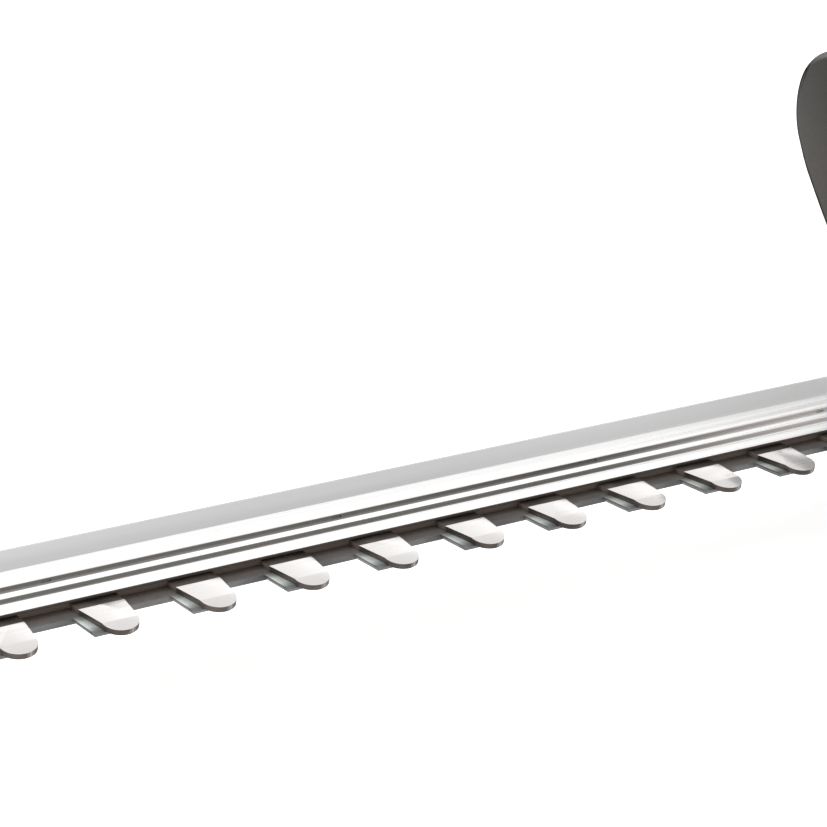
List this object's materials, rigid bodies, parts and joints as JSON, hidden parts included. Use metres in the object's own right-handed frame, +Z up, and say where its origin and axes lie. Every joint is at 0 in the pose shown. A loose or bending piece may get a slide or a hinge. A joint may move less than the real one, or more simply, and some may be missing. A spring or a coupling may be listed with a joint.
{
  "type": "hedge trimmer",
  "caption": "Cordless single-sided hedge trimmer: comb and sliding blade under a grooved rail, crank gearbox, hand guard, bail handle, D handle and slide-on battery.",
  "frame": {"origin": "on the underside of the rubber foot, below the crank axis", "axes": "+X along the cutter bar towards the handles, teeth towards -Y, +Z up"},
  "size_m": [0.966, 0.1686, 0.203],
  "materials": {
    "accent_plastic": "satin",
    "bar_steel": "dark oiled",
    "black_rubber": "matte",
    "board_green": "solder mask",
    "bronze": "sintered",
    "cast_alloy": "as cast, painted clear",
    "cell_sleeve": "shrink sleeve",
    "dark_plastic": "fine grained",
    "gear_steel": "hardened, ground",
    "ground_steel": "ground and polished",
    "guard_plastic": "fine grained",
    "housing_plastic": "fine grained",
    "magnet": "ferrite",
    "rail_aluminium": "satin extruded",
    "zinc_steel": "zinc plated"
  },
  "bodies": {
    "trimmer_body": {"bail_bolt_left": "zinc_steel", "bail_bolt_right": "zinc_steel", "bar_nuts": "zinc_steel", "bar_root_screws": "zinc_steel", "bar_studs": "zinc_steel", "bar_washers": "zinc_steel", "battery_dock": "dark_plastic", "control_board": "board_green", "cover_rail": "rail_aluminium", "floor_screws": "zinc_steel", "front_handle": "guard_plastic", "gear_shaft": "gear_steel", "gearbox_base": "cast_alloy", "gearbox_cover": "cast_alloy", "gearbox_screws": "zinc_steel", "guard_comb": "ground_steel", "guard_screws": "zinc_steel", "hand_guard": "guard_plastic", "housing_left": "housing_plastic", "housing_right": "housing_plastic", "housing_screws": "zinc_steel", "main_switch": "dark_plastic", "motor_bearings": "gear_steel", "motor_can": "zinc_steel", "motor_end_cap": "dark_plastic", "motor_magnets": "magnet", "motor_plate": "zinc_steel", "motor_plate_screws": "zinc_steel", "rail_seal": "black_rubber", "rubber_foot": "black_rubber", "spacer_sleeves": "bar_steel", "support_bar": "bar_steel", "terminal_blades": "bronze", "tip_protector": "guard_plastic", "tip_screws": "zinc_steel", "trigger_pin": "gear_steel"},
    "crank": {"crank_gear": "gear_steel", "gear_bush": "bronze", "crank_pin": "gear_steel", "crank_roller": "gear_steel"},
    "blade": {"cutter_blade": "ground_steel"},
    "rotor": {"motor_pinion": "gear_steel", "motor_shaft": "gear_steel", "motor_armature": "bar_steel", "motor_commutator": "bronze"},
    "trigger_lever": {"trigger": "accent_plastic"},
    "lock_off": {"lock_off_button": "accent_plastic"},
    "switch_bar": {"front_switch_bar": "accent_plastic"},
    "battery": {"battery_case_top": "dark_plastic", "battery_case_bottom": "housing_plastic", "battery_cells": "cell_sleeve", "battery_board": "board_green"},
    "latch": {"battery_latch": "accent_plastic"}
  },
  "joints": [
    {"name": "crank_spin", "type": "hinge", "parent": "trimmer_body", "child": "crank", "pos_m": [0, 0, 0.039], "axis": [0, 0, 1], "range_deg": [0, 180]},
    {"name": "blade_stroke", "type": "slide", "parent": "trimmer_body", "child": "blade", "axis": [-1, 0, 0], "range_m": [0, 0.025]},
    {"name": "motor_spin", "type": "hinge", "parent": "trimmer_body", "child": "rotor", "pos_m": [0.0375, 0, 0.06], "axis": [0, 0, 1], "range_deg": [-720, 0]},
    {"name": "trigger_pull", "type": "hinge", "parent": "trimmer_body", "child": "trigger_lever", "pos_m": [0.146, 0, 0.114], "axis": [0, -1, 0], "range_deg": [0, 11], "stiffness_Nm_per_rad": 0.5, "springref_deg": -8.59},
    {"name": "lock_off_press", "type": "slide", "parent": "trimmer_body", "child": "lock_off", "axis": [0, 0, -1], "range_m": [0, 0.003], "stiffness_N_per_m": 400, "springref_m": -0.002},
    {"name": "switch_bar_press", "type": "slide", "parent": "trimmer_body", "child": "switch_bar", "axis": [-1, 0, 0], "range_m": [0, 0.004], "stiffness_N_per_m": 500, "springref_m": -0.002},
    {"name": "battery_slide", "type": "slide", "parent": "trimmer_body", "child": "battery", "axis": [1, 0, 0], "range_m": [0, 0.09]},
    {"name": "latch_press", "type": "slide", "parent": "battery", "child": "latch", "axis": [-1, 0, 0], "range_m": [0, 0.002], "stiffness_N_per_m": 600, "springref_m": -0.002}
  ],
  "couplings": [
    {"joint": "blade_stroke", "follows": "crank_spin", "m_per_rad": 0.0079577},
    {"joint": "motor_spin", "follows": "crank_spin", "ratio": -4}
  ]
}
